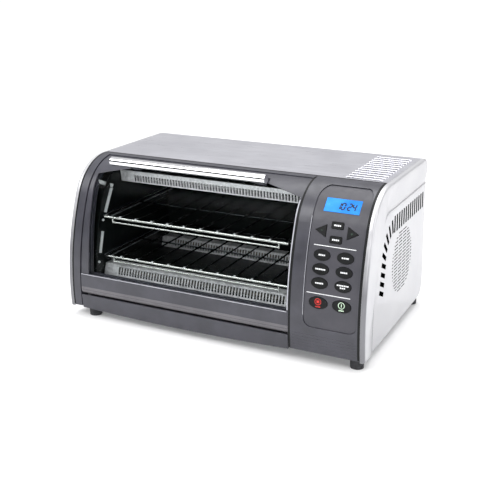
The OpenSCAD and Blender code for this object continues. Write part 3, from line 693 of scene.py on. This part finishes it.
# Painted highlights, pale strips where edges would catch the light: the door's right-hand end beside the glass,
# the top of the rail below the glass, and the left side of the recessed plate.
front_strip("door_end_highlight", door_high.x / MM - 2.2, door_high.x / MM - 0.7, -0.06, 0.2, 68, 212,
            EDGE_HIGHLIGHT_GREY, "door")
front_strip("rail_edge_highlight", door_low.x / MM + 0.5, door_high.x / MM - 2.4, -0.05, 0.2, 64.8, 65.9,
            EDGE_HIGHLIGHT_GREY, "door")
front_strip("plate_rim_highlight", plate_low.x / MM - 0.9, plate_low.x / MM - 0.3, -0.06, 0.2, 66, 196,
            EDGE_HIGHLIGHT_GREY, "case")

# Jamb at the left of the oven opening: a dark strip, a bright folded edge in three lengths, two studs.
wall_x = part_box("cavity_left_wall")[0].x / MM
front_strip("left_jamb", wall_x - 14, wall_x + 1, 24, 26, 54, 186, ENAMEL, "case")


def beam(bm, start, end, wide, thick, side=(1, 0, 0)):
    """A closed bar between two points in millimetres; wide runs along side, thick across it."""
    start, end, side = (Vector(v) for v in (start, end, side))
    along = (end - start).normalized()
    side = (side - along * side.dot(along)).normalized()
    up = along.cross(side)
    rings = []
    for point in (start, end):
        corners = (point + side * wide * a / 2 + up * thick * b / 2
                   for a, b in ((-1, -1), (1, -1), (1, 1), (-1, 1)))
        rings.append([bm.verts.new((c.x * MM, FRONT_Y + c.y * MM, c.z * MM)) for c in corners])
    closed_rings(bm, rings)


JAMB_X = wall_x + 3
for name, start, end, wide in (("upper", (JAMB_X, 61, 187), (JAMB_X, 43, 153), 5.2),
                               ("lower", (JAMB_X, 35, 125), (JAMB_X, 27, 93), 4.2)):
    bm = bmesh.new()
    beam(bm, start, end, wide, 2)
    mesh = finish_mesh(bm, "left_jamb_edge_" + name)
    add_piece("left_jamb_edge_" + name, mesh, JAMB_STEEL, "case")
bm = bmesh.new()
beam(bm, (wall_x - 10, 45, 200.5), (wall_x + 2, 66, 189.5), 4, 5.5, (1, -1, 0))
add_piece("left_jamb_edge_top", finish_mesh(bm, "left_jamb_edge_top"), JAMB_STEEL, "case")
bm = bmesh.new()
for y, z in ((37.5, 142.2), (23.3, 79.5)):
    place = Matrix.Translation((JAMB_X * MM, FRONT_Y + y * MM, z * MM)) @ Matrix.Rotation(radians(90), 4, "X")
    bmesh.ops.create_uvsphere(bm, u_segments=20, v_segments=10, radius=2 * MM, matrix=place)
add_piece("left_jamb_studs", finish_mesh(bm, "left_jamb_studs"), JAMB_STEEL, "case")

# Rounded tips where the wires that run front to back are welded over the front wire of each rack.
CROSS_WIRES, WIRE_INSET, TIP_R = 10, 1.8, 1.75
for name, height in (("upper_rack", 151), ("lower_rack", 89)):
    low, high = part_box(name)
    x0, x1 = low.x / MM + WIRE_INSET, high.x / MM - WIRE_INSET
    bm = bmesh.new()
    for i in range(1, CROSS_WIRES + 1):
        x = x0 + (x1 - x0) * i / (CROSS_WIRES + 1)
        place = Matrix.Translation((x * MM, FRONT_Y + 30.4 * MM, (height + 1.7) * MM))
        bmesh.ops.create_uvsphere(bm, u_segments=16, v_segments=10, radius=TIP_R * MM,
                                  matrix=place @ Matrix.Diagonal((1.0, 1.3, 1.0, 1.0)))
    add_piece(name + "_tips", finish_mesh(bm, name + "_tips"), JAMB_STEEL, name + "_body")

# Sloping blades in the louvres of the top cover.
LOUVRES, LOUVRE_PITCH, FIRST_LOUVRE = 12, 12.5, 106
BLADE_Z, BLADE_RISE, BLADE_T = 230.8, 0.8, 0.6
bm = bmesh.new()
for i in range(LOUVRES):
    front = FIRST_LOUVRE + i * LOUVRE_PITCH + 0.1
    rear, high = front + 3, BLADE_Z + BLADE_RISE
    prism(bm, [(front, BLADE_Z), (rear, high), (rear, high + BLADE_T), (front, BLADE_Z + BLADE_T)],
          HALF - 61.8, HALF - 10.2)
add_piece("louvre_blades", finish_mesh(bm, "louvre_blades"), TOP_STEEL, "case")


# ---- Side panels: a rolled rim, a slope down to a flat field, and cut slots ----
LOW, BACK, REAR_R, FOOT_R, PANEL_T = 11, 288, 20, 22, 7
RIM_R, FIELD_DEPTH = 3.5, 3.3


def panel_ring(inset):
    """Outline of a side panel as (y, z) in millimetres, drawn in by inset."""
    low, sweep, bend = LOW + inset, SWEEP_R / MM - inset, CROWN_R / MM - inset
    z0, cz = BULGE_Z / MM, CROWN_Z / MM
    cy = (CROWN_Y - FRONT_Y) / MM
    first = asin((low - z0) / sweep)
    ring = [(SWEEP_R / MM - sweep * cos(a), z0 + sweep * sin(a))
            for a in (first + (BLEND - first) * i / 40 for i in range(40))]
    ring += [(cy - bend * cos(a), cz + bend * sin(a))
             for a in (BLEND + (pi / 2 - BLEND) * i / 30 for i in range(31))]
    corner = REAR_R - inset
    cy, cz = BACK - REAR_R, cz + CROWN_R / MM - REAR_R
    ring += [(cy + corner * sin(a), cz + corner * cos(a)) for a in (pi / 2 * i / 12 for i in range(13))]
    corner = FOOT_R - inset
    cy, cz = BACK - FOOT_R, LOW + FOOT_R
    ring += [(cy + corner * cos(a), cz - corner * sin(a)) for a in (pi / 2 * i / 12 for i in range(13))]
    return ring


def smooth_path(knots, steps):
    """A Catmull-Rom curve through the knots."""
    knots = [Vector(k) for k in knots]
    ends = [knots[0] * 2 - knots[1]] + knots + [knots[-1] * 2 - knots[-2]]
    points = []
    for p0, p1, p2, p3 in zip(ends, ends[1:], ends[2:], ends[3:]):
        for i in range(steps):
            t = i / steps
            points.append(0.5 * (2 * p1 + (p2 - p0) * t + (2 * p0 - 5 * p1 + 4 * p2 - p3) * t * t
                                 + (3 * p1 - p0 - 3 * p2 + p3) * t**3))
    return points + [knots[-1]]


def shifted(points, distance):
    """The curve moved sideways, towards the middle of the panel."""
    moved = []
    for i, point in enumerate(points):
        before, after = points[max(i - 1, 0)], points[min(i + 1, len(points) - 1)]
        along = (after - before).normalized()
        moved.append(point + Vector((along.y, -along.x)) * distance)
    return moved


def panel_body():
    """The panel before pressing, from its inner lip to its rolled rim, as (inset, x) layers."""
    layers = [(1.4, HALF + 1.7), (1.4, HALF + 0.001), (0, HALF), (0, HALF + PANEL_T - RIM_R)]
    layers += [(RIM_R * (1 - cos(a)), HALF + PANEL_T - RIM_R * (1 - sin(a)))
               for a in (pi / 2 * i / 8 for i in range(1, 9))]
    bm = bmesh.new()
    closed_rings(bm, [[bm.verts.new((x * MM, FRONT_Y + y * MM, z * MM)) for y, z in panel_ring(inset)]
                      for inset, x in layers])
    return finish_mesh(bm, "panel_body")


def panel_relief():
    """What is pressed in: the slope from the rim and the field inside it."""
    crease = smooth_path([(29, -6), (30, 11), (31, 60), (35, 89), (51, 139), (69, 180), (84, 209),
                          (100, 221.5), (122, 224), (200, 224), (300, 224)], 8)
    foot = smooth_path([(40, -6), (40, 11), (41, 60), (43.6, 86), (57, 135), (73, 172), (87, 187),
                        (103, 192.3), (124, 192.5), (200, 192.5), (300, 192.5)], 8)
    levels = [(crease, 4), (crease, 0.01), (foot, -4.3), (shifted(foot, 1), -2.9),
              (shifted(foot, 2.6), -FIELD_DEPTH)]
    bm = bmesh.new()
    rings = []
    for points, height in levels:
        x = (HALF + PANEL_T + height) * MM
        ring = [bm.verts.new((x, FRONT_Y + p.x * MM, p.y * MM)) for p in points]
        ring.append(bm.verts.new((x, FRONT_Y + 300 * MM, -6 * MM)))
        rings.append(ring)
    closed_rings(bm, rings)
    return finish_mesh(bm, "panel_relief")


def turned_box(centre, width, length, tilt):
    """Outline of a slot: tilt turns its top towards the front, in degrees."""
    c, s, half_w, half_l = cos(radians(tilt)), sin(radians(tilt)), width / 2, length / 2
    return [(centre[0] + u * c - v * s, centre[1] + u * s + v * c)
            for u, v in ((-half_w, -half_l), (half_w, -half_l), (half_w, half_l), (-half_w, half_l))]


def panel_cuts(louvred):
    """Outlines of every slot cut through a side panel."""
    slot_w = 6.4
    slots = [turned_box((129.5 + i * 11.06, 167.8), slot_w, 24.6, 0) for i in range(14)]
    arc_y, arc_z, arc_r = 128, 122, 45.5
    for a in (11 + 16 * i for i in range(5)):
        middle = (arc_y - arc_r * sin(radians(a)), arc_z + arc_r * cos(radians(a)))
        slots.append(turned_box(middle, slot_w, 21, 8 + 0.62 * a))
    slots += [turned_box((83 - 2.4 * i, 120.6 - 12.5 * i), slot_w, 21, 65) for i in range(4)]
    if louvred:
        # A round field of slits, in columns between upright ribs.
        field_y, field_z, field_r, pitch, column, rib, slit, shortest = 170.5, 104, 50, 4.9, 20, 3, 1.6, 2
        for i in range(-9, 10):
            reach = sqrt(field_r**2 - (i * pitch) ** 2)
            ribs = [field_y + k * column for k in range(-2, 3) if abs(k * column) < reach]
            edges = [field_y - reach] + ribs + [field_y + reach]
            for e0, e1 in zip(edges, edges[1:]):
                y0, y1, z = e0 + rib / 2, e1 - rib / 2, field_z + i * pitch
                if y1 - y0 > shortest:
                    low, high = z - slit / 2, z + slit / 2
                    slots.append([(y0, low), (y1, low), (y1, high), (y0, high)])
    return slots


def slot_mesh(outlines, x0, x1):
    """One prism for each outline."""
    bm = bmesh.new()
    for outline in outlines:
        prism(bm, outline, x0, x1)
    return finish_mesh(bm, "slots")


def carved(body, *tools):
    """The body with each tool cut out of it."""
    objects = [bpy.data.objects.new(mesh.name, mesh) for mesh in (body,) + tools]
    for obj in objects:
        scene.collection.objects.link(obj)
    for tool in objects[1:]:
        cut = objects[0].modifiers.new("cut", "BOOLEAN")
        cut.operation = "DIFFERENCE"
        cut.solver = "EXACT"
        cut.object = tool
    bpy.context.view_layer.update()
    depsgraph = bpy.context.evaluated_depsgraph_get()
    result = bpy.data.meshes.new_from_object(objects[0].evaluated_get(depsgraph))
    for obj in objects:
        bpy.data.objects.remove(obj)
    return result


# The slots are filled with black a little below the field: painted shade standing in for the dark inside seen
# through them.
SHADE_FILL_GAP = 0.12
for name, louvred in (("right", True), ("left", False)):
    outlines = panel_cuts(louvred)
    mesh = carved(panel_body(), panel_relief(), slot_mesh(outlines, HALF - 4, HALF + PANEL_T + 4))
    shade_fill = slot_mesh(outlines, HALF + 0.4, HALF + PANEL_T - FIELD_DEPTH - SHADE_FILL_GAP)
    if name == "left":
        for part in (mesh, shade_fill):
            part.transform(Matrix.Scale(-1, 4, (1, 0, 0)))
            part.flip_normals()
    mesh.name, shade_fill.name = name + "_stamping", name + "_slot_shade_fill"
    add_piece(name + "_slot_shade_fill", shade_fill, SLOT_SHADE, "case")
    mesh.polygons.foreach_set("use_smooth", [True] * len(mesh.polygons))
    mesh.set_sharp_from_angle(angle=radians(24))
    stamping = add_piece(name + "_stamping", mesh, SIDE_SILVER, "case")
    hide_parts(name + "_side_panel")

# ---- Floor, light and camera ----
bm = bmesh.new()
bmesh.ops.create_circle(bm, cap_ends=True, segments=96, radius=14.0)
floor_mesh = finish_mesh(bm, "floor")
floor = bpy.data.objects.new("floor", floor_mesh)
scene.collection.objects.link(floor)
pale = Finish("floor_pale", 0.9)
cloud = pale.remap(pale.noise(2, 2), 0.3, 0.7)
pale.colour(pale.blend(cloud, (0.86, 0.86, 0.865, 1.0), (0.88, 0.88, 0.88, 1.0)))
reach = pale.node("ShaderNodeVectorMath")
reach.operation = "LENGTH"
pale.link(pale.place, reach.inputs[0])
# Painted light: the floor glows, more the further out, whitening the far floor and lightening the shadow near the
# oven.
pale.shader.inputs["Emission Color"].default_value = (1.0, 1.0, 1.0, 1.0)
pale.link(pale.remap(reach.outputs["Value"], 0.25, 3.0, 0.1, 0.42), pale.shader.inputs["Emission Strength"])
floor_mesh.materials.append(pale.done())

world = bpy.data.worlds.new("studio")
scene.world = world
world.use_nodes = True
sky = world.node_tree
sky.nodes.clear()
coords = sky.nodes.new("ShaderNodeTexCoord")
split = sky.nodes.new("ShaderNodeSeparateXYZ")
ramp = sky.nodes.new("ShaderNodeValToRGB")
back = sky.nodes.new("ShaderNodeBackground")
surface = sky.nodes.new("ShaderNodeOutputWorld")
sky.links.new(coords.outputs["Generated"], split.inputs[0])
sky.links.new(split.outputs["Z"], ramp.inputs[0])
sky.links.new(ramp.outputs[0], back.inputs["Color"])
sky.links.new(back.outputs[0], surface.inputs[0])
steps_of_light = ((0.0, 0.55), (0.12, 0.42), (0.3, 0.75), (0.6, 1.0))
while len(ramp.color_ramp.elements) < len(steps_of_light):
    ramp.color_ramp.elements.new(0.5)
for element, (at, value) in zip(ramp.color_ramp.elements, steps_of_light):
    element.position = at
    element.color = (value, value, value * 1.01, 1.0)
back.inputs["Strength"].default_value = 0.8


def area(name, place, aim, size, power):
    """A white rectangular lamp that shines from one point towards another."""
    lamp = bpy.data.lights.new(name, "AREA")
    lamp.shape = "RECTANGLE"
    lamp.size, lamp.size_y = size
    lamp.energy = power
    obj = bpy.data.objects.new(name, lamp)
    scene.collection.objects.link(obj)
    obj.location = place
    obj.rotation_euler = (Vector(aim) - Vector(place)).to_track_quat("-Z", "Y").to_euler()


area("key_light", (-0.9, -1.5, 1.7), (0, 0, 0.1), (1.4, 1.0), 30)
area("top_light", (0.1, 0.3, 2.0), (0, 0, 0.2), (2.0, 1.4), 36)
area("front_fill", (0.6, -2.1, 0.42), (-0.05, 0, 0.16), (1.0, 0.5), 7)
area("side_light", (1.9, -0.3, 0.9), (0.2, 0, 0.12), (1.2, 1.0), 9)

# A dark card in front, seen only in reflections, that draws the dark line along polished parts.
bm = bmesh.new()
for x, z in ((-1.6, 0.02), (1.6, 0.02), (1.6, 1.15), (-1.6, 1.15)):
    bm.verts.new((x, 0, z))
bm.faces.new(bm.verts)
card = bpy.data.objects.new("dark_card", finish_mesh(bm, "dark_card"))
scene.collection.objects.link(card)
card.location = (-0.9, -2.1, 0)
card.rotation_euler = (0, 0, radians(-24))
dark = Finish("card_black", 1.0)
dark.colour(dark.blend(dark.noise(3), (0.01, 0.01, 0.01, 1.0), (0.02, 0.02, 0.02, 1.0)))
card.data.materials.append(dark.done())
card.visible_camera = card.visible_diffuse = card.visible_shadow = card.visible_transmission = False

# The camera's place, lens and shift come from fitting the oven's outline to the photograph's.
camera_data = bpy.data.cameras.new("camera")
camera = bpy.data.objects.new("camera", camera_data)
scene.collection.objects.link(camera)
camera_data.sensor_width = 36.0
camera_data.lens = 64.49
camera_data.shift_y = -0.2
camera.location = (0.5790, -1.1883, 0.5409)
camera.rotation_euler = Euler((radians(90 - 12.3), 0.0, radians(26.0)), "XYZ")
scene.camera = camera
scene.view_settings.view_transform = "Standard"
